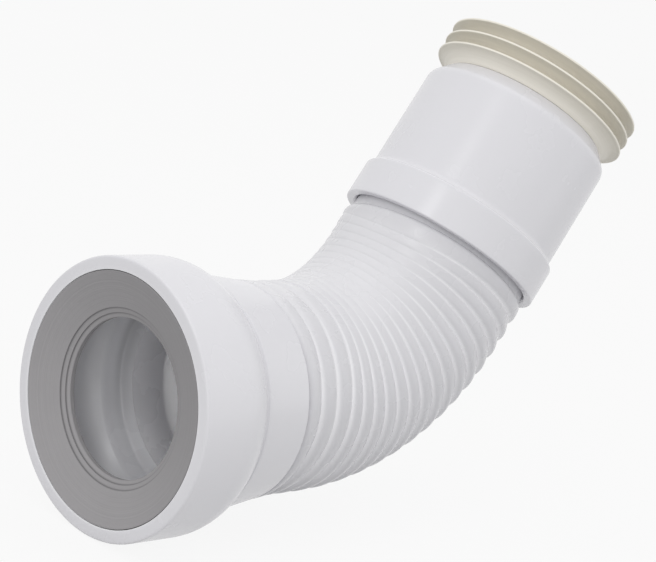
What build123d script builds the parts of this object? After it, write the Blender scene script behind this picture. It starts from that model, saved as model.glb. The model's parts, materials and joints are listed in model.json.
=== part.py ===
"""Flexible toilet pan connector: a rigid inlet cup, a bent bellows hose and a rigid outlet with a finned seal.

The origin is the middle of the inlet seal's aperture, at the lip's front edge. +X runs into the connector along
the inlet axis, +Z is up, and the hose bends upward in the XZ plane. All sizes are in millimetres.
"""
import os
from math import atan2, cos, radians, sin

from build123d import *

# Outlet spigot
barrel_radius = 55.0
barrel_length = 59.3
barrel_wall = 3.0
collar_length = 22.2
collar_proud = 2.85
collar_step = 1.3
collar_lead_in = 1.5
collar_round = 0.7
end_chamfer = 7.0
end_chamfer_length = 8.1
end_round = 3.0
neck_step = 2.75
neck_wall = 2.75
neck_lip = 1.4
neck_lip_length = 1.8

# Hose: plain sleeves at both ends and lobes between them
sleeve_inset = 3.2
sleeve_wall = 2.0
sleeve_gap = 0.3
inlet_sleeve_length = 20.5
outlet_sleeve_length = 18.0
straight_lobes = 3
straight_pitch = 11.1
bend_lobes = 15
bend_pitch = 8.65
bend_angle = 60.4
bend_lead = 2.9
bend_tail = 20.4
crest_height = 2.5
first_crest_height = 3.4
valley_height = 0.9
valley_shift = 0.6
crest_share = 0.35
last_lobe_end = 1.6
span_lobes = 6
lobe_wall = 1.8
hose_shown = 3.6

# Inlet socket, with lengths measured from the mouth
socket_radius = 68.0
socket_wall = 3.0
socket_straight = 27.0
rim_width = 6.7
rim_lip_depth = 4.0
rim_round = 1.3
cuff_start = 46.8
cuff_length = 31.7
cuff_wall = 3.4
cuff_taper = 4.0
cuff_foot = 1.2
inside_round = 12.0
edge_round = 0.5

# Inlet seal
seal_gap = 0.3
seal_bead_depth = 6.0
seal_skin = 2.6
aperture_radius = 38.6
aperture_depth = 8.4
lip_rings = (4.7, 2.2)
lip_ring_step = 0.5
lip_length = 2.6
lip_round = 0.4

# Outlet fin seal
fin_count = 3
fin_reach = 2.3
fin_pitch = 7.7
fin_height = 6.8
fin_base = 2.2
fin_rim = 1.6
fin_land = 1.3
fin_round = 0.3
fin_root_inset = 0.3
fin_sleeve_wall = 2.3
fin_seal_gap = 0.25

# Places along the inlet axis and the bend
sleeve_radius = barrel_radius - sleeve_inset
sleeve_bore = sleeve_radius + sleeve_gap
bore_radius = sleeve_radius - sleeve_wall
cuff_end = cuff_start + cuff_length
first_valley = cuff_end + sleeve_gap
lobes = straight_lobes + bend_lobes
bend_start = first_valley + straight_lobes * straight_pitch + bend_lead
arc_length = bend_lobes * bend_pitch - bend_lead - bend_tail
bend_radius = arc_length / radians(bend_angle)
mouth = -aperture_depth
outlet_dir = (cos(radians(bend_angle)), 0, sin(radians(bend_angle)))
outlet_start = (mouth + bend_start + bend_radius * outlet_dir[2], 0, bend_radius * (1 - outlet_dir[0]))
inlet_section = Plane(origin=(mouth, 0, 0), x_dir=(1, 0, 0), z_dir=(0, -1, 0))
outlet_section = Plane(origin=outlet_start, x_dir=outlet_dir, z_dir=(0, -1, 0))
outlet_axis = Axis(outlet_start, outlet_dir)


def round_corners(profile, corners):
    """Round the corners of a turned profile, each given as length along the axis, radius and rounding."""
    for along, radius, rounding in corners:
        fillet(profile.vertices().sort_by_distance((along, radius))[0], rounding)


# Inlet socket: a turned cup with an inward lip at the mouth, a round shoulder and a long tapered cuff for the hose
socket_bore = socket_radius - socket_wall
rim_lip_radius = socket_radius - rim_width
cuff_radius = sleeve_bore + cuff_wall
cuff_top_radius = cuff_radius + cuff_taper
cuff_foot_radius = cuff_top_radius - cuff_foot
shoulder_slope = 2 * atan2(socket_radius - cuff_foot_radius, cuff_start - socket_straight)
shoulder_inside = (
    cuff_start - socket_wall * sin(shoulder_slope),
    cuff_foot_radius - socket_wall * cos(shoulder_slope),
)
hose_seat = first_valley - inlet_sleeve_length - sleeve_gap
inside_end = hose_seat - socket_wall
inside_end_radius = cuff_top_radius - cuff_taper * (inside_end - cuff_start) / cuff_length - socket_wall

with BuildPart() as inlet_socket:
    with BuildSketch(inlet_section) as profile:
        with BuildLine():
            Polyline(
                (socket_straight, socket_bore),
                (rim_lip_depth, socket_bore),
                (rim_lip_depth, rim_lip_radius),
                (0, rim_lip_radius),
                (0, socket_radius),
                (socket_straight, socket_radius),
            )
            TangentArc((socket_straight, socket_radius), (cuff_start, cuff_foot_radius), tangent=(1, 0))
            Polyline(
                (cuff_start, cuff_foot_radius),
                (cuff_start + cuff_foot, cuff_top_radius),
                (cuff_end, cuff_radius),
                (cuff_end, sleeve_bore),
                (hose_seat, sleeve_bore),
                (hose_seat, bore_radius),
                (inside_end, inside_end_radius),
                shoulder_inside,
            )
            TangentArc((socket_straight, socket_bore), shoulder_inside, tangent=(1, 0))
        make_face()
        round_corners(
            profile,
            [
                (0, socket_radius, rim_round),
                (0, rim_lip_radius, edge_round),
                (cuff_start + cuff_foot, cuff_top_radius, edge_round),
                (cuff_end, cuff_radius, edge_round),
                (*shoulder_inside, inside_round),
            ],
        )
    revolve(axis=Axis.X)
inlet_socket.part.label = "inlet_socket"

# Inlet seal: a rubber ring clipped behind the rim lip, with a funnel face that ends in a short lip
seal_face_radius = rim_lip_radius - seal_gap
bead_start = rim_lip_depth + seal_gap
bead_end = bead_start + seal_bead_depth
bead_radius = socket_bore - seal_gap
outer_ring, inner_ring = (aperture_radius + width for width in lip_rings)
funnel_fall = (aperture_depth - lip_ring_step * len(lip_rings)) / (seal_face_radius - aperture_radius)
outer_ring_depth = (seal_face_radius - outer_ring) * funnel_fall
inner_ring_depth = (seal_face_radius - inner_ring) * funnel_fall + lip_ring_step
lip_end = aperture_depth + lip_length

with BuildPart() as inlet_seal:
    with BuildSketch(inlet_section) as profile:
        with BuildLine():
            Polyline(
                (0, seal_face_radius),
                (outer_ring_depth, outer_ring),
                (outer_ring_depth + lip_ring_step, outer_ring),
                (inner_ring_depth, inner_ring),
                (inner_ring_depth + lip_ring_step, inner_ring),
                (aperture_depth, aperture_radius),
                (lip_end, aperture_radius),
                (lip_end, aperture_radius + seal_skin),
                (outer_ring_depth + seal_skin, outer_ring + seal_skin),
                (bead_end, seal_face_radius - seal_skin),
                (bead_end, bead_radius),
                (bead_start, bead_radius),
                (bead_start, seal_face_radius),
                close=True,
            )
        make_face()
        round_corners(profile, [(0, seal_face_radius, edge_round), (lip_end, aperture_radius, lip_round)])
    revolve(axis=Axis.X)
inlet_seal.part.label = "inlet_seal"


# Bellows hose: circles across the bend are lofted a few lobes at a time, outside and bore alike
def hose_plane(place, shift=0, extra=0):
    """Plane across the hose at a place counted in lobes, moved inward in the bend by shift and along by extra."""
    straight = min(place, straight_lobes)
    along = first_valley + straight * straight_pitch + (place - straight) * bend_pitch
    bent = min(max(along - bend_start, 0), arc_length) / bend_radius
    before = min(along, bend_start)
    after = max(along - bend_start - arc_length, 0)
    tilt = radians(bend_angle) * (place - straight) / bend_lobes
    origin = (
        mouth + before + bend_radius * sin(bent) + after * outlet_dir[0] - shift * sin(tilt) + extra * cos(tilt),
        0,
        bend_radius * (1 - cos(bent)) + after * outlet_dir[2] + shift * cos(tilt) + extra * sin(tilt),
    )
    return Plane(origin=origin, x_dir=(0, 1, 0), z_dir=(cos(tilt), 0, sin(tilt)))


def hose_body(end_radius, circles):
    """Solid through circles given as place, plane and radius, made in spans because one long loft would turn over."""
    ends = (
        [(0, hose_plane(0, extra=-inlet_sleeve_length), end_radius), (0, hose_plane(0), end_radius)],
        [(lobes, hose_plane(lobes, extra=along), end_radius) for along in (hose_shown, outlet_sleeve_length)],
    )
    with BuildPart() as body:
        for first in range(0, lobes, span_lobes):
            for place, plane, radius in ends[0] + circles + ends[1]:
                if first <= place <= first + span_lobes:
                    with BuildSketch(plane):
                        Circle(radius)
            loft(ruled=True)
    return body.part


valley_radius = sleeve_radius + valley_height
lobe_circles = []
for lobe in range(lobes):
    crest_radius = sleeve_radius + (crest_height if lobe else first_crest_height)
    lobe_circles.append((lobe + crest_share, hose_plane(lobe + crest_share), crest_radius))
    if lobe + 1 < lobes:
        shift = valley_shift if lobe >= straight_lobes else 0
        lobe_circles.append((lobe + 1, hose_plane(lobe + 1, shift), valley_radius))
lobe_circles.append((lobes, hose_plane(lobes, extra=hose_shown - last_lobe_end), sleeve_radius + crest_height))
bore_places = [1, *range(span_lobes // 2, lobes, span_lobes // 2), lobes - 1]
bore_circles = [(place, hose_plane(place), valley_radius - lobe_wall) for place in bore_places]
hose_outside = hose_body(sleeve_radius, lobe_circles)
hose_bore = hose_body(bore_radius, bore_circles)
with BuildPart() as bellows_hose:
    add(hose_outside)
    add(hose_bore, mode=Mode.SUBTRACT)
bellows_hose.part.label = "bellows_hose"

# Outlet spigot, with lengths measured from the end of the bend: collar, barrel, chamfered end and seal neck
collar_start = bend_tail + hose_shown
collar_end = collar_start + collar_length
collar_radius = barrel_radius + collar_proud
barrel_end = collar_end + barrel_length
barrel_bore = barrel_radius - barrel_wall
chamfer_end = barrel_end + end_chamfer_length
chamfer_radius = barrel_radius - end_chamfer
neck_radius = chamfer_radius - neck_step
neck_bore = neck_radius - neck_wall
throat_start = barrel_end - barrel_wall
hose_stop = bend_tail + outlet_sleeve_length + sleeve_gap
fin_sleeve_start = chamfer_end + fin_seal_gap
fin_roots = [fin_sleeve_start + fin_root_inset + fin_pitch * fin for fin in range(fin_count)]
fin_sleeve_end = fin_roots[-1] + fin_base + fin_land
neck_lip_start = fin_sleeve_end + fin_seal_gap
neck_end = neck_lip_start + neck_lip_length

with BuildPart() as outlet_spigot:
    with BuildSketch(outlet_section) as profile:
        with BuildLine():
            Polyline(
                (collar_start, sleeve_bore + collar_lead_in),
                (collar_start, collar_radius),
                (collar_end - collar_step, collar_radius),
                (collar_end, barrel_radius),
                (barrel_end, barrel_radius),
                (chamfer_end, chamfer_radius),
                (chamfer_end, neck_radius),
                (neck_lip_start, neck_radius),
                (neck_lip_start, neck_radius + neck_lip),
                (neck_end, neck_radius),
                (neck_end, neck_bore),
                (throat_start + barrel_bore - neck_bore, neck_bore),
                (throat_start, barrel_bore),
                (hose_stop + barrel_wall, barrel_bore),
                (hose_stop, bore_radius),
                (hose_stop, sleeve_bore),
                (collar_start + collar_lead_in, sleeve_bore),
                close=True,
            )
        make_face()
        round_corners(
            profile,
            [
                (collar_start, collar_radius, collar_round),
                (collar_end - collar_step, collar_radius, collar_round),
                (barrel_end, barrel_radius, end_round),
                (chamfer_end, chamfer_radius, edge_round),
            ],
        )
    revolve(axis=outlet_axis)
outlet_spigot.part.label = "outlet_spigot"

# Outlet fin seal: a soft sleeve on the neck with cone fins that flare away from the barrel
fin_bore = neck_radius + fin_seal_gap
fin_root_radius = fin_bore + fin_sleeve_wall
fin_radius = barrel_radius + fin_reach

with BuildPart() as outlet_fin_seal:
    with BuildSketch(outlet_section) as profile:
        with BuildLine():
            Polyline(
                (fin_sleeve_start, fin_bore),
                (fin_sleeve_start, fin_root_radius),
                (fin_sleeve_end, fin_root_radius),
                (fin_sleeve_end, fin_bore),
                close=True,
            )
        make_face()
        for root in fin_roots:
            rim = root + fin_height
            with BuildLine():
                Polyline(
                    (root, fin_root_radius),
                    (rim - fin_land, fin_radius),
                    (rim, fin_radius),
                    (rim, fin_radius - fin_rim),
                    (root + fin_base, fin_root_radius),
                    close=True,
                )
            make_face()
        rims = [root + fin_height for root in fin_roots]
        round_corners(profile, [(rim, fin_radius, fin_round) for rim in rims])
        round_corners(profile, [(rim, fin_radius - fin_rim, fin_round) for rim in rims])
    revolve(axis=outlet_axis)
outlet_fin_seal.part.label = "outlet_fin_seal"

os.makedirs("parts", exist_ok=True)
export_step(inlet_socket.part, "parts/inlet_socket.step")
export_step(inlet_seal.part, "parts/inlet_seal.step")
export_step(bellows_hose.part, "parts/bellows_hose.step")
export_step(outlet_spigot.part, "parts/outlet_spigot.step")
export_step(outlet_fin_seal.part, "parts/outlet_fin_seal.step")
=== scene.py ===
"""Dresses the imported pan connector: finer meshes, plastic and rubber, studio light, floor and camera."""
import json
from math import atan2, pi, tan

import bpy
import numpy as np
from mathutils import Matrix, Vector


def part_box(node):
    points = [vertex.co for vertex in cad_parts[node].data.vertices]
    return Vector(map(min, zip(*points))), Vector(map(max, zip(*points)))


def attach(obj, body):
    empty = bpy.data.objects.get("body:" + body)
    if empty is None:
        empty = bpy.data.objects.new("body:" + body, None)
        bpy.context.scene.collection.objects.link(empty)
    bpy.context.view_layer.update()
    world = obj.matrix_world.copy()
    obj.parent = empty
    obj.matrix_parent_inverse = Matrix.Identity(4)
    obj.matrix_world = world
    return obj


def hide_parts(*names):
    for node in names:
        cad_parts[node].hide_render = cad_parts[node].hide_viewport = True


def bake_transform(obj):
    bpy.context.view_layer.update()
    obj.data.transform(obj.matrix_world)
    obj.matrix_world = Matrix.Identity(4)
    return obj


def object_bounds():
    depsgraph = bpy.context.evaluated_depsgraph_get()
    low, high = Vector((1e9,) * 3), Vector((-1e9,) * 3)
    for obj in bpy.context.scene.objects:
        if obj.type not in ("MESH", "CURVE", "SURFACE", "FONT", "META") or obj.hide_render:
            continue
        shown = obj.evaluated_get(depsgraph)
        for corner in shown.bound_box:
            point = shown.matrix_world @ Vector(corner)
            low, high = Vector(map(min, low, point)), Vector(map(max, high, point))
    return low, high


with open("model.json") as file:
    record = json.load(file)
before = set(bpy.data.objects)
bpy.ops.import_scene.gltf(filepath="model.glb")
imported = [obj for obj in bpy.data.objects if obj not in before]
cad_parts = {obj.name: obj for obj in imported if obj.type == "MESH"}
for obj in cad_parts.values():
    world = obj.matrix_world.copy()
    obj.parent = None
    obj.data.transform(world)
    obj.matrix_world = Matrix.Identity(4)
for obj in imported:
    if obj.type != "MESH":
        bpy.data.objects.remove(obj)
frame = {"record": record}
cad_low, cad_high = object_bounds()
scene = bpy.context.scene
mm = 0.001

# Sizes read from the frame
mounts = {mount["name"]: mount for mount in frame["record"]["mounts"]}
socket_low, socket_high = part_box("inlet_socket")
seal_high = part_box("inlet_seal")[1]
mouth = socket_low.x
cuff_end = socket_high.x
socket_radius = socket_high.y
bead_radius = seal_high.y
lip_end = seal_high.x
aperture_radius = mounts["pan_inlet"]["dims"]["r_mm"] * mm
fin_radius = mounts["soil_outlet"]["dims"]["r_mm"] * mm
neck_bore = mounts["outlet_bore"]["dims"]["r_mm"] * mm
outlet_dir = Vector(mounts["soil_outlet"]["axis"])
fins_middle = Vector(mounts["soil_outlet"]["pos_m"])
bend_angle = atan2(outlet_dir.z, outlet_dir.x)

# The bend: a straight inlet run, an arc and a straight outlet run
inlet_run = 115 * mm
bend_start = mouth + inlet_run
axes_cross = fins_middle.x - fins_middle.z * outlet_dir.x / outlet_dir.z
bend_radius = (axes_cross - bend_start) / tan(bend_angle / 2)
arc_length = bend_radius * bend_angle
arc_end = Vector((bend_start + bend_radius * outlet_dir.z, 0, bend_radius * (1 - outlet_dir.x)))
inlet_frame = Matrix(((0, 0, 1, 0), (1, 0, 0, 0), (0, 1, 0, 0), (0, 0, 0, 1)))
outlet_frame = Matrix(
    (
        (0, -outlet_dir.z, outlet_dir.x, arc_end.x),
        (1, 0, 0, arc_end.y),
        (0, outlet_dir.x, outlet_dir.z, arc_end.z),
        (0, 0, 0, 1),
    )
)


def ramp(value, start, length):
    """Share of a length that is passed since its start, from 0 to 1."""
    return np.clip((value - start) / length, 0, 1)


def ease(share):
    """Share with a soft start and end."""
    return share * share * (3 - 2 * share)


def new_mesh(name, points, faces, sharp_degrees=40):
    """Mesh object from points and faces, smooth except across edges sharper than the angle."""
    mesh = bpy.data.meshes.new(name)
    mesh.from_pydata([tuple(p) for p in points], [], faces)
    mesh.validate()
    mesh.shade_smooth()
    mesh.set_sharp_from_angle(angle=sharp_degrees * pi / 180)
    piece = bpy.data.objects.new(name, mesh)
    scene.collection.objects.link(piece)
    return piece


def mark(piece, name, values):
    """Gives each point of a piece a number that its material reads."""
    piece.data.attributes.new(name, "FLOAT", "POINT").data.foreach_set("value", np.array(values, np.float32))


def ring_faces(rings, around):
    """Faces of a closed loop of rings of points."""
    faces = []
    for ring in range(rings):
        here, after = ring * around, (ring + 1) % rings * around
        for step in range(around):
            turn = (step + 1) % around
            faces.append((here + step, here + turn, after + turn, after + step))
    return faces


def lathe(name, profile, placing, around=224):
    """Closed profile of (along, radius) pairs turned about the placing matrix's Z axis, with its faces outward."""
    if sum(a[0] * b[1] - b[0] * a[1] for a, b in zip(profile, profile[1:] + profile[:1])) > 0:
        profile = profile[::-1]
    angles = np.linspace(0, 2 * pi, around, endpoint=False)
    points = [(radius * np.cos(a), radius * np.sin(a), along) for along, radius in profile for a in angles]
    piece = new_mesh(name, points, ring_faces(len(profile), around))
    piece.matrix_world = placing
    return piece


def rounded(corner, before, after, size, steps=5):
    """Points of a rounded corner between two neighbours of a profile."""
    c, b, a = (np.array(p, float) for p in (corner, before, after))
    start = c + (b - c) / np.linalg.norm(b - c) * size
    end = c + (a - c) / np.linalg.norm(a - c) * size
    shares = [step / steps for step in range(steps + 1)]
    return [tuple((1 - s) ** 2 * start + 2 * s * (1 - s) * c + s**2 * end) for s in shares]


def round_profile(corners):
    """Closed profile from (along, radius, rounding) corners."""
    profile = []
    for number, (along, radius, size) in enumerate(corners):
        before, after = corners[number - 1][:2], corners[(number + 1) % len(corners)][:2]
        if size:
            profile += rounded((along, radius), before, after, size)
        else:
            profile.append((along, radius))
    return profile


def subdivided(profile, step):
    """Closed profile with long runs cut into equal lengths."""
    finer = []
    for number, point in enumerate(profile):
        after = profile[(number + 1) % len(profile)]
        count = max(1, int(np.hypot(after[0] - point[0], after[1] - point[1]) / step))
        for part in range(count):
            share = part / count
            finer.append(tuple(np.array(point) * (1 - share) + np.array(after) * share))
    return finer


def shoulder(start, end, steps=16):
    """Corners between the ends of an arc that leaves start along the axis."""
    run, drop = end[0] - start[0], start[1] - end[1]
    radius, turn = (run**2 + drop**2) / (2 * drop), 2 * atan2(drop, run)
    turns = [turn * step / steps for step in range(1, steps)]
    return [(start[0] + radius * np.sin(t), start[1] - radius * (1 - np.cos(t)), 0) for t in turns]


def flare(start, end, sag, steps=8):
    """Corners between the ends of a fin's face, which bows away from the barrel by the sag."""
    run, rise = end[0] - start[0], end[1] - start[1]
    push = sag * 4 / np.hypot(run, rise) * np.sign(rise)
    corners = []
    for step in range(1, steps):
        share = step / steps
        along = start[0] + share * run + push * rise * share * (1 - share)
        radius = start[1] + share * rise - push * run * share * (1 - share)
        corners.append((along, radius, 0))
    return corners


# Inlet socket: an inward lip at the mouth, a round shoulder and a tapered cuff, with the hose's seat inside
fine_step = 1.5 * mm
lip_back, shoulder_start, cuff_start, hose_seat = (mouth + depth * mm for depth in (4, 27, 46.8, 58))
lip_radius, socket_bore, foot_radius, cuff_radius = (socket_radius - inset * mm for inset in (6.7, 3.0, 9.7, 12.5))
foot_step, seat_slope = 1.2 * mm, 3 * mm
cuff_bore, seat_radius, slope_radius = (cuff_radius - inset * mm for inset in (3.4, 5.7, 0.03))
wall_along, wall_in = 2.37 * mm, 1.84 * mm  # the wall's thickness, square to the shoulder's end
outer_bend = ((shoulder_start, socket_radius), (cuff_start, foot_radius))
inner_bend = ((shoulder_start, socket_bore), (cuff_start - wall_along, foot_radius - wall_in))
socket_profile = round_profile(
    [
        (mouth, lip_radius, 0.5 * mm),
        (mouth, socket_radius, 1.4 * mm),
        (*outer_bend[0], 0),
        *shoulder(*outer_bend),
        (*outer_bend[1], 1.1 * mm),
        (cuff_start + foot_step, foot_radius + foot_step, 0.55 * mm),
        (cuff_end, cuff_radius, 0.5 * mm),
        (cuff_end, cuff_bore, 0.3 * mm),
        (hose_seat, cuff_bore, 0),
        (hose_seat, seat_radius, 0.4 * mm),
        (hose_seat - seat_slope, slope_radius, 1.0 * mm),
        (*inner_bend[1], 3.0 * mm),
        *reversed(shoulder(*inner_bend)),
        (*inner_bend[0], 0),
        (lip_back, socket_bore, 0),
        (lip_back, lip_radius, 0.3 * mm),
    ]
)
socket_piece = lathe("socket_cup", subdivided(socket_profile, fine_step), inlet_frame)

# Painted light: the socket is paler inside. Painted shade: a soft dark band before the seat that weakens toward the
# bottom
band_depth, band_reach, band_fade = hose_seat - 3.5 * mm, 4.5 * mm, 3 * mm
band_low, band_gain, band_span = 0.2, 0.6, 40 * mm
inward_full = 10 * mm  # the radius times the inward part of a face's direction from which the face counts as inside
spots = np.array([point.co for point in socket_piece.data.vertices])
facing = np.array([point.normal for point in socket_piece.data.vertices])
inward = ramp(-(spots[:, :2] * facing[:, :2]).sum(1), 0, inward_full)
band = ramp(band_reach - np.abs(spots[:, 2] - band_depth), 0, band_fade)
mark(socket_piece, "painted_light", inward)
mark(socket_piece, "shade", inward * band * (band_low + band_gain * ramp(spots[:, 1], -band_span, band_span)))

# Outlet spigot: collar over the hose, barrel, chamfered end and the neck that holds the fin seal
collar_start, collar_end, barrel_end, chamfer_end = 24 * mm, 46.2 * mm, 105.5 * mm, 113.6 * mm
barrel_radius, collar_radius, neck_radius = 55 * mm, 57.85 * mm, neck_bore + 2.75 * mm
collar_slope, collar_bevel, chamfer_drop = 1.3 * mm, 1.5 * mm, 7 * mm
collar_bore, barrel_bore, stop_radius = 52.1 * mm, 52 * mm, 49.8 * mm
hose_stop, stop_slope, throat_start, throat_end = 38.7 * mm, 3 * mm, 102.5 * mm, 112 * mm
neck_end, barb_length, barb_height = 135.1 * mm, 1.8 * mm, 1.4 * mm
spigot_profile = round_profile(
    [
        (collar_start, collar_bore + collar_bevel, 0.3 * mm),
        (collar_start, collar_radius, 0.8 * mm),
        (collar_end - collar_slope, collar_radius, 0.9 * mm),
        (collar_end, barrel_radius, 2.0 * mm),
        (barrel_end, barrel_radius, 2.4 * mm),
        (chamfer_end, barrel_radius - chamfer_drop, 0.5 * mm),
        (chamfer_end, neck_radius, 0),
        (neck_end - barb_length, neck_radius, 0),
        (neck_end - barb_length, neck_radius + barb_height, 0.3 * mm),
        (neck_end, neck_radius, 0.3 * mm),
        (neck_end, neck_bore, 0.5 * mm),
        (throat_end, neck_bore, 1.0 * mm),
        (throat_start, barrel_bore, 1.0 * mm),
        (hose_stop + stop_slope, barrel_bore, 0.5 * mm),
        (hose_stop, stop_radius, 0.3 * mm),
        (hose_stop, collar_bore, 0),
        (collar_start + collar_bevel, collar_bore, 0.3 * mm),
    ]
)
spigot_piece = lathe("spigot_pipe", subdivided(spigot_profile, fine_step), outlet_frame)

# Hose: lobes that flatten and crowd toward the cup on the inside of the bend, with a plain sleeve at each end
lobes, straight_lobes = 18, 3
straight_pitch, bend_pitch = 11.1 * mm, 8.65 * mm
sleeve_radius, sleeve_bore, lobe_bore = 51.8 * mm, 49.8 * mm, 50.9 * mm
inlet_sleeve, outlet_sleeve, collar_run = 20.5 * mm, 18 * mm, 3.5 * mm
first_valley = cuff_end + 0.3 * mm
crest_radius, first_crest_radius, valley_radius = 54.3 * mm, 55.2 * mm, 52.7 * mm
outside_extra, bore_swell = 1.2 * mm, 0.35 * mm
straight_flatten, bend_flatten, bore_flatten = 0.45, 0.85, 0.6
most_crowd, crowd_from, crowd_over = 1.1, 5, 12  # counted in lobes
askew_most, askew_side = 5.5 * mm, 2.44  # how far the last lobe stops short of the collar, and where it doesn't
foot_share, collar_share = 0.2, 0.9  # where the first lobe leaves its sleeve and the last one comes down to its own
settle_over, askew_from, askew_over, bend_light_over = 0.8, 0.3, 0.6, 0.6  # shares of the last lobe
inside_from, inside_over, outside_over = 0.3, 0.5, 0.6  # heights on a ring of radius 1
hose_sharp_degrees = 60

# Lobes, as shares of the pitch and of the height
lobe_start = [(0.00, 0.00), (0.05, 0.24), (0.10, 0.47), (0.15, 0.67), (0.20, 0.83)]
lobe_shape = lobe_start + [
    (0.26, 0.95), (0.33, 1.00), (0.42, 0.98), (0.52, 0.92), (0.62, 0.82), (0.72, 0.67), (0.82, 0.47), (0.90, 0.27),
    (0.96, 0.11),
]
last_lobe_shape = lobe_start + [
    (0.27, 0.95), (0.36, 1.00), (0.60, 1.00), (0.80, 0.99), (0.92, 0.96), (1.02, 0.88), (1.10, 0.72), (1.16, 0.47),
    (1.20, 0.10),
]
bore_shares = 0.85, 0.6, 0.35, 0.1

# Painted highlights: pale lines in the valleys. Painted light: paler on the inside of the bend and in the bore,
# whose marks also set the light the bore lets through
painted_line_shares = 0.0, 0.05, 0.10, 0.15, 0.20, 0.28, 0.80, 0.90, 1.0
painted_line_values = 1.0, 0.95, 0.6, 0.28, 0.1, 0.0, 0.0, 0.3, 1.0
painted_line_loss, bend_light_mark, last_lobe_light_loss = 0.9, 0.36, 0.2
sleeve_mark, bore_mark = 1.6, 2.0


def hose_ring(place, extra=0.0):
    """Middle (x, z) and tilt of the hose's cross-section at a place counted in lobes."""
    straight = np.minimum(place, straight_lobes)
    along = first_valley + straight * straight_pitch + (place - straight) * bend_pitch
    bent = np.clip(along - bend_start, 0, arc_length) / bend_radius
    after = np.maximum(along - bend_start - arc_length, 0)
    tilt = bend_angle * (place - straight) / (lobes - straight_lobes)
    x = np.minimum(along, bend_start) + bend_radius * np.sin(bent) + after * outlet_dir.x + extra * np.cos(tilt)
    z = bend_radius * (1 - np.cos(bent)) + after * outlet_dir.z + extra * np.sin(tilt)
    return x, z, tilt


# Round each ring: where lobes flatten, where they crowd, how deep valleys are and how far the last lobe stops short
around = 160
hose_angles = np.linspace(0, 2 * pi, around, endpoint=False)
inside_share = ease(ramp(np.sin(hose_angles), inside_from, inside_over))
inner = np.clip(np.sin(hose_angles), 0, 1) ** 3
open_valley = valley_radius - outside_extra * ease(ramp(-np.sin(hose_angles), 0, outside_over))
askew = askew_most * (1 - np.exp(np.cos(hose_angles - askew_side) - 1))
round_ring = np.ones(around)
hose, painted_light_values = [], []


def hose_ring_points(place, radii, extra=0.0, crowd=0.0, painted_light=0.0, bend_light=0.0, bore=None):
    """Adds one ring, pushed back toward the cup on the inside of the bend by the crowding, and its painted light
    marks.
    """
    x, z, tilt = hose_ring(place - most_crowd * crowd * inner, extra)
    up = radii * np.sin(hose_angles)
    hose.extend(np.stack([x - up * np.sin(tilt), radii * np.cos(hose_angles), z + up * np.cos(tilt)], 1))
    painted_light_values.extend(np.maximum(painted_light * (1 - painted_line_loss * inner), bend_light * inner) if bore is None else bore * round_ring)


hose_ring_points(0, sleeve_radius * round_ring, -inlet_sleeve)
for lobe in range(lobes):
    last = lobe == lobes - 1
    crest = crest_radius if lobe else first_crest_radius
    flatten = straight_flatten if lobe < straight_lobes else bend_flatten
    for share, height in last_lobe_shape if last else lobe_shape:
        near_collar = last and share > collar_share
        near_cuff = not lobe and share <= foot_share
        base = sleeve_radius if near_collar or near_cuff else open_valley
        deep = 1 - flatten * inside_share * (not near_collar)
        radii = crest - (crest - base) * (1 - height) * deep
        # painted highlight lines along each lobe's valley
        painted_light = np.interp(share, painted_line_shares, painted_line_values) if lobe and not near_collar else 0.0
        # painted light on the inside of the bend, fading along the last lobe
        crowd, bend_light, past = ramp(lobe + share, crowd_from, crowd_over), bend_light_mark, 0.0
        if last:
            crowd *= ramp(1 - share, 0, settle_over)
            bend_light -= last_lobe_light_loss * ramp(share, 0, bend_light_over)
            past = max(share - 1, 0) * bend_pitch - askew * ramp(share, askew_from, askew_over)
        hose_ring_points(lobe + min(share, 1), radii, past, crowd, painted_light, bend_light)
hose_ring_points(lobes, sleeve_radius * round_ring, collar_run)
hose_ring_points(lobes, sleeve_radius * round_ring, outlet_sleeve)
hose_ring_points(lobes, sleeve_bore * round_ring, outlet_sleeve)
hose_ring_points(lobes, sleeve_bore * round_ring, bore=sleeve_mark)
for lobe in reversed(range(lobes)):
    for share in bore_shares:
        swell = bore_swell * (1 - np.cos(2 * pi * share)) * (1 - bore_flatten * inside_share)
        hose_ring_points(lobe + share, lobe_bore + swell, bore=bore_mark)
hose_ring_points(0, sleeve_bore * round_ring, bore=sleeve_mark)
hose_ring_points(0, sleeve_bore * round_ring, -inlet_sleeve, bore=sleeve_mark)
hose_piece = new_mesh("hose_bellows", hose, ring_faces(len(hose) // around, around), hose_sharp_degrees)
mark(hose_piece, "painted_light", painted_light_values)

# Inlet seal: funnel face with two stepped rings, a clip bead behind the rim and a soft lip
seal_step = 1.2 * mm
face_radius, funnel_depth = socket_radius - 7 * mm, 7.4 * mm
bead_start, bead_end = mouth + 4.3 * mm, mouth + 10.3 * mm
skin, ring_depth, ring_edge = 2.6 * mm, 0.5 * mm, 0.12 * mm
outer_ring, inner_ring = aperture_radius + 4.7 * mm, aperture_radius + 2.2 * mm
fall = funnel_depth / (face_radius - aperture_radius)
outer_depth = mouth + (face_radius - outer_ring) * fall
inner_depth = mouth + (face_radius - inner_ring) * fall + ring_depth
seal_profile = round_profile(
    [
        (mouth, face_radius, 0.5 * mm),
        (outer_depth, outer_ring, ring_edge),
        (outer_depth + ring_depth, outer_ring, ring_edge),
        (inner_depth, inner_ring, ring_edge),
        (inner_depth + ring_depth, inner_ring, ring_edge),
        (0, aperture_radius, 0.3 * mm),
        (lip_end, aperture_radius, 0.4 * mm),
        (lip_end, aperture_radius + skin, 0.6 * mm),
        (outer_depth + skin, outer_ring + skin, 0.6 * mm),
        (bead_end, face_radius - skin, 0.6 * mm),
        (bead_end, bead_radius, 0.8 * mm),
        (bead_start, bead_radius, 0.4 * mm),
        (bead_start, face_radius, 0),
    ]
)
seal_piece = lathe("seal_funnel", subdivided(seal_profile, seal_step), inlet_frame)

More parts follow.
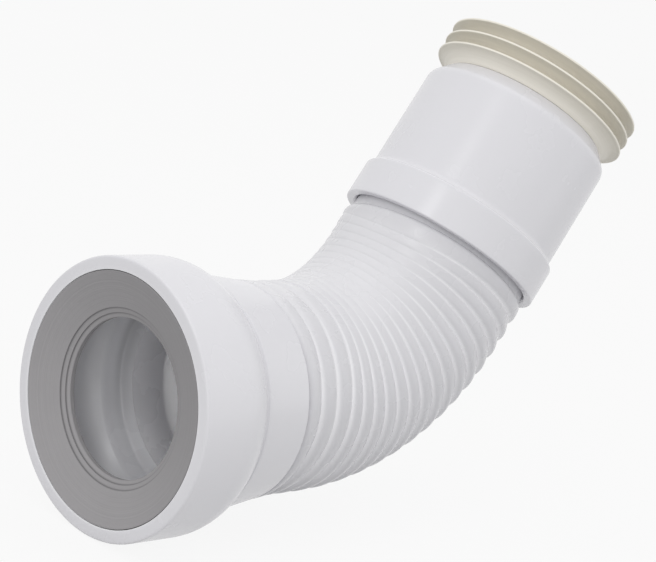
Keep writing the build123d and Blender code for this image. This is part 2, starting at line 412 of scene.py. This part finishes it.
# Outlet fin seal: a sleeve on the neck with three fins that flare like a trumpet
fins = 3
sleeve_start, fin_lead, fin_tail = 113.85 * mm, 0.3 * mm, 1.3 * mm
fin_bore, fin_root = neck_bore + 3 * mm, neck_bore + 5.3 * mm
fin_pitch, fin_height, fin_base, fin_rim, fin_land = 7.7 * mm, 6.8 * mm, 2.2 * mm, 1.4 * mm, 0.9 * mm
front_sag, back_sag = 0.9 * mm, 0.8 * mm
fin_corners = [(sleeve_start, fin_bore, 0), (sleeve_start, fin_root, 0.2 * mm)]
for fin in range(fins):
    root = sleeve_start + fin_lead + fin * fin_pitch
    rim = root + fin_height
    front = ((root, fin_root), (rim - fin_land, fin_radius))
    back = ((rim, fin_radius - fin_rim), (root + fin_base, fin_root))
    fin_corners += [
        (*front[0], 0.05 * mm),
        *flare(*front, front_sag),
        (*front[1], 0.2 * mm),
        (rim, fin_radius, 0.25 * mm),
        (*back[0], 0.3 * mm),
        *flare(*back, back_sag),
        (*back[1], 0.6 * mm),
    ]
fin_end = root + fin_base + fin_tail
fin_corners += [(fin_end, fin_root, 0.4 * mm), (fin_end, fin_bore, 0)]
fin_piece = lathe("seal_fins", subdivided(round_profile(fin_corners), fine_step), outlet_frame)


# Materials
class Nodes:
    """A node tree, with short ways to add and join nodes."""

    noise_low, noise_high = 0.3, 0.7  # most of a noise lies between these

    def __init__(self, tree):
        self.tree = tree

    def give(self, socket, value):
        """Joins another node's output to a socket, or sets the socket to a number or colour."""
        if isinstance(value, bpy.types.NodeSocket):
            self.tree.links.new(value, socket)
        else:
            socket.default_value = value

    def add(self, kind, settings=None, **inputs):
        """New node, with its inputs given by name, or by number as i0, i1 and so on."""
        made = self.tree.nodes.new("ShaderNode" + kind)
        for key, value in (settings or {}).items():
            setattr(made, key, value)
        for key, value in inputs.items():
            numbered = key[0] == "i" and key[1:].isdigit()
            self.give(made.inputs[int(key[1:]) if numbered else key.replace("_", " ")], value)
        return made

    def math(self, operation, a, b=0.0):
        return self.add("Math", {"operation": operation}, i0=a, i1=b).outputs[0]

    def weighed(self, a, share_a, b, share_b):
        """Sum of two values, each times its share."""
        return self.math("ADD", self.math("MULTIPLY", a, share_a), self.math("MULTIPLY", b, share_b))

    def spread(self, value, low, high, from_low, from_high):
        """Value taken from one range to another and held there."""
        made = self.add("MapRange", Value=value, From_Min=from_low, From_Max=from_high, To_Min=low, To_Max=high)
        return made.outputs["Result"]

    def vary(self, noise, low=0.0, high=1.0):
        """Noise spread over a range."""
        return self.spread(noise, low, high, self.noise_low, self.noise_high)

    def looked_at(self):
        """1 for what the camera sees, also in a reflection or through glass, and 0 for what only gives light."""
        ray = self.add("LightPath").outputs
        mirrored = self.math("MAXIMUM", ray["Is Glossy Ray"], ray["Is Transmission Ray"])
        return self.math("MAXIMUM", ray["Is Camera Ray"], mirrored)


class Shader(Nodes):
    """A material, with its patterns set out on the piece."""

    def __init__(self, name):
        self.material = bpy.data.materials.new(name)
        self.material.use_nodes = True
        super().__init__(self.material.node_tree)
        self.surface = self.tree.nodes["Principled BSDF"]
        self.place = self.add("TexCoord").outputs["Object"]

    def noise(self, scale, detail):
        return self.add("TexNoise", Vector=self.place, Scale=scale, Detail=detail, Roughness=0.5).outputs["Fac"]

    def axes(self):
        """Places across and up from the axis of a turned piece, and the radius."""
        split = self.add("SeparateXYZ", Vector=self.place).outputs
        squares = [self.math("POWER", split[axis], 2.0) for axis in ("X", "Y")]
        return split["X"], split["Y"], self.math("SQRT", self.math("ADD", *squares))

    def read(self, name):
        """Number marked on the piece's points."""
        return self.add("Attribute", {"attribute_name": name}).outputs["Fac"]

    def blend(self, factor, a, b):
        a, b = ((*colour, 1) if isinstance(colour, tuple) else colour for colour in (a, b))
        return self.add("Mix", {"data_type": "RGBA"}, i0=factor, i6=a, i7=b).outputs[2]

    def bump(self, height, strength, distance, **under):
        return self.add("Bump", Height=height, Strength=strength, Distance=distance, **under).outputs["Normal"]

    def finish(self, colour, roughness, normal):
        for name, value in (("Base Color", colour), ("Roughness", roughness), ("Normal", normal)):
            self.give(self.surface.inputs[name], value)
        return self.material


def moulded_plastic(name, light, dark, painted_light_colour, gloss, hose=False):
    """Satin plastic: faint clouding, uneven gloss and a very fine skin, with painted light making it paler inside
    and on the hose's lines, and painted shade in the socket's dark band.
    """
    let_low, let_high, let_depth = 0.1, 0.8, 9 * mm  # light let through by the sleeves and by the thin lobes
    painted_shade_colour = (0.6, 0.6, 0.62)
    shader = Shader(name)
    cloud = shader.noise(9.0, 3.0)
    grain = shader.noise(1500.0, 2.0)
    skin = shader.noise(220.0, 2.0)
    paler = shader.read("painted_light")
    # painted light: paler where the piece is marked
    colour = shader.blend(paler, shader.blend(shader.vary(cloud), dark, light), painted_light_colour)
    if hose:
        let_through = shader.spread(paler, let_low, let_high, sleeve_mark, bore_mark)
        shader.give(shader.surface.inputs["Subsurface Weight"], let_through)
        shader.give(shader.surface.inputs["Subsurface Radius"], (1.0, 1.0, 1.0))
        shader.give(shader.surface.inputs["Subsurface Scale"], let_depth)
    else:
        # painted shade: the socket's dark band before the hose's seat
        colour = shader.blend(shader.read("shade"), colour, painted_shade_colour)
    roughness = shader.vary(shader.noise(45.0, 3.0), *gloss)
    waves = shader.bump(skin, strength=0.025, distance=0.3 * mm)
    normal = shader.bump(grain, strength=0.02, distance=0.1 * mm, Normal=waves)
    return shader.finish(colour, roughness, normal)


def seal_rubber():
    """Grey rubber with fine turned rings on the face, with painted light making it lighter at the lower left and
    painted shade as dark lines at the steps.
    """
    dark, light, step_shade_colour = (0.283, 0.275, 0.283), (0.372, 0.361, 0.37), (0.2, 0.195, 0.2)
    ring_share, patch_share = 0.65, 0.35
    # painted light: the tone leans lighter toward the lower left
    light_lean_across, light_lean_up = 4.0, -6.5  # change of tone per metre
    streak_low, streak_high, tone_low, tone_high = 0.32, 0.68, 0.2, 0.8
    line_strength, line_back, line_full, line_fade = 0.8, 0.1 * mm, 0.15 * mm, 0.5 * mm
    shader = Shader("grey_rubber")
    across, up, radius = shader.axes()
    radius_mm = shader.math("MULTIPLY", radius, 1 / mm)
    turned = shader.add("TexNoise", {"noise_dimensions": "1D"}, W=radius_mm, Scale=1.3, Detail=4.0, Roughness=0.65)
    rings = turned.outputs["Fac"]
    patches = shader.noise(35.0, 4.0)
    streak = shader.weighed(rings, ring_share, patches, patch_share)
    painted_light_lean = shader.weighed(across, light_lean_across, up, light_lean_up)
    tone = shader.math("ADD", shader.spread(streak, tone_low, tone_high, streak_low, streak_high), painted_light_lean)
    colour = shader.blend(tone, dark, light)
    # painted shade: a dark line at each step of the face
    for ring in (outer_ring, inner_ring):
        from_line = shader.math("ABSOLUTE", shader.math("SUBTRACT", radius, ring - line_back))
        drawn = shader.spread(from_line, line_strength, 0.0, line_full, line_fade)
        colour = shader.blend(drawn, colour, step_shade_colour)
    roughness = shader.vary(patches, 0.52, 0.66)
    grain = shader.bump(shader.noise(900.0, 2.0), strength=0.08, distance=0.1 * mm)
    normal = shader.bump(rings, strength=0.35, distance=0.2 * mm, Normal=grain)
    return shader.finish(colour, roughness, normal)


def fin_rubber():
    """Cream rubber with fine flow lines round the fins; painted highlight makes the rims pale, painted light makes
    the grooves pale and painted shade makes the faces greyer between.
    """
    groove_light_colour, body, rim_highlight_colour = (0.92, 0.885, 0.80), (0.71, 0.678, 0.592), (0.92, 0.888, 0.795)
    groove_in, body_in = fin_radius - 8.8 * mm, fin_radius - 1.2 * mm
    rim_in, rim_full = fin_radius - 0.6 * mm, fin_radius - 0.2 * mm
    flow_share = 0.13
    shader = Shader("cream_rubber")
    radius = shader.axes()[2]
    drawn = shader.add("Mapping", Vector=shader.place, Scale=(18.0, 18.0, 900.0)).outputs[0]
    flow = shader.add("TexNoise", Vector=drawn, Scale=1.0, Detail=4.0, Roughness=0.6).outputs["Fac"]
    outward = shader.spread(radius, 0.0, 1.0, groove_in, body_in)
    tone = shader.math("ADD", outward, shader.vary(flow, -flow_share, flow_share))
    rim = shader.spread(radius, 0.0, 1.0, rim_in, rim_full)
    # painted highlight on the rims, painted light in the grooves and painted shade on the faces between
    colour = shader.blend(rim, shader.blend(tone, groove_light_colour, body), rim_highlight_colour)
    roughness = shader.vary(flow, 0.46, 0.60)
    grain = shader.bump(shader.noise(700.0, 2.0), strength=0.06, distance=0.1 * mm)
    normal = shader.bump(flow, strength=0.12, distance=0.2 * mm, Normal=grain)
    return shader.finish(colour, roughness, normal)


white_plastic = moulded_plastic(
    "white_plastic",
    light=(0.779, 0.774, 0.806),
    dark=(0.757, 0.752, 0.782),
    painted_light_colour=(0.87, 0.87, 0.895),
    gloss=(0.22, 0.29),
)
white_hose = moulded_plastic(
    "white_hose",
    light=(0.68, 0.676, 0.704),
    dark=(0.66, 0.656, 0.683),
    painted_light_colour=(0.94, 0.935, 0.96),
    gloss=(0.24, 0.31),
    hose=True,
)
socket_piece.data.materials.append(white_plastic)
spigot_piece.data.materials.append(white_plastic)
hose_piece.data.materials.append(white_hose)
seal_piece.data.materials.append(seal_rubber())
fin_piece.data.materials.append(fin_rubber())

# What the pieces stand for and ride on
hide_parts("inlet_socket")
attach(socket_piece, "inlet")
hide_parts("outlet_spigot")
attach(spigot_piece, "outlet")
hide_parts("bellows_hose")
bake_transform(hose_piece)
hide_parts("inlet_seal")
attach(seal_piece, "inlet")
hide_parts("outlet_fin_seal")
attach(fin_piece, "outlet")

# Floor: pale, with the shadow kept soft
floor_half, floor_height, floor_lift = 12.0, cad_low.z - 0.5 * mm, 0.9
white = (1, 1, 1, 1)
floor = new_mesh(
    "floor",
    [(x * floor_half, y * floor_half, floor_height) for x, y in ((-1, -1), (1, -1), (1, 1), (-1, 1))],
    [(0, 1, 2, 3)],
)
pale_floor = Shader("pale_floor")
pale_floor.tree.nodes.remove(pale_floor.surface)
matte = pale_floor.add("BsdfDiffuse", Color=pale_floor.vary(pale_floor.noise(3.0, 2.0), 0.60, 0.62))
glow = pale_floor.add("Emission", Color=white, Strength=1.0)
lift = pale_floor.math("MULTIPLY", pale_floor.looked_at(), floor_lift)
shown = pale_floor.add("MixShader", Fac=lift, i1=matte.outputs[0], i2=glow.outputs[0])
pale_floor.give(pale_floor.tree.nodes["Material Output"].inputs["Surface"], shown.outputs[0])
floor.data.materials.append(pale_floor.material)

# Light: an even white room, an overhead softbox and weak fills
room_light = 0.76
world = bpy.data.worlds.new("studio")
scene.world = world
world.use_nodes = True
room = Nodes(world.node_tree)
sky = room.tree.nodes["Background"]
room.give(sky.inputs["Color"], white)
room.give(sky.inputs["Strength"], room_light)
backdrop = room.add("Background", Color=white, Strength=1.0)
shown = room.add("MixShader", Fac=room.looked_at(), i1=sky.outputs[0], i2=backdrop.outputs[0])
room.give(room.tree.nodes["World Output"].inputs["Surface"], shown.outputs[0])


def softbox(name, offset, size, power):
    """Square lamp at an offset from the middle of the part, which it faces."""
    light = bpy.data.lights.new(name, "AREA")
    light.shape, light.size, light.energy = "SQUARE", size, power
    lamp = bpy.data.objects.new(name, light)
    middle = (cad_low + cad_high) / 2
    lamp.location = middle + Vector(offset)
    lamp.rotation_mode = "QUATERNION"
    lamp.rotation_quaternion = (-Vector(offset)).to_track_quat("-Z", "Y")
    scene.collection.objects.link(lamp)


softbox("overhead", (-0.1, -0.1, 1.5), size=1.6, power=4.0)
softbox("mouth_side", (-1.155, -0.225, 0.945), size=0.32, power=1.4)
softbox("front_fill", (-1.2, -0.8, 0.4), size=0.8, power=2.0)
softbox("right_fill", (1.2, -1.0, 0.3), size=1.2, power=1.5)

# Camera fitted to the photograph
view_place = Vector((-0.605065, -0.647156, 0.282285))
view_dir, view_up = Vector((0.72872, 0.64643, -0.22605)), Vector((0.01913, 0.31075, 0.95030))
view_right = view_dir.cross(view_up).normalized()
camera_data = bpy.data.cameras.new("camera")
camera_data.sensor_width, camera_data.lens = 36.0, 107.22
camera_data.clip_start, camera_data.clip_end = 0.01, 100.0
camera = bpy.data.objects.new("camera", camera_data)
scene.collection.objects.link(camera)
camera.matrix_world = Matrix([*zip(view_right, view_up, -view_dir, view_place), (0, 0, 0, 1)])
scene.camera = camera
scene.view_settings.view_transform = "Standard"
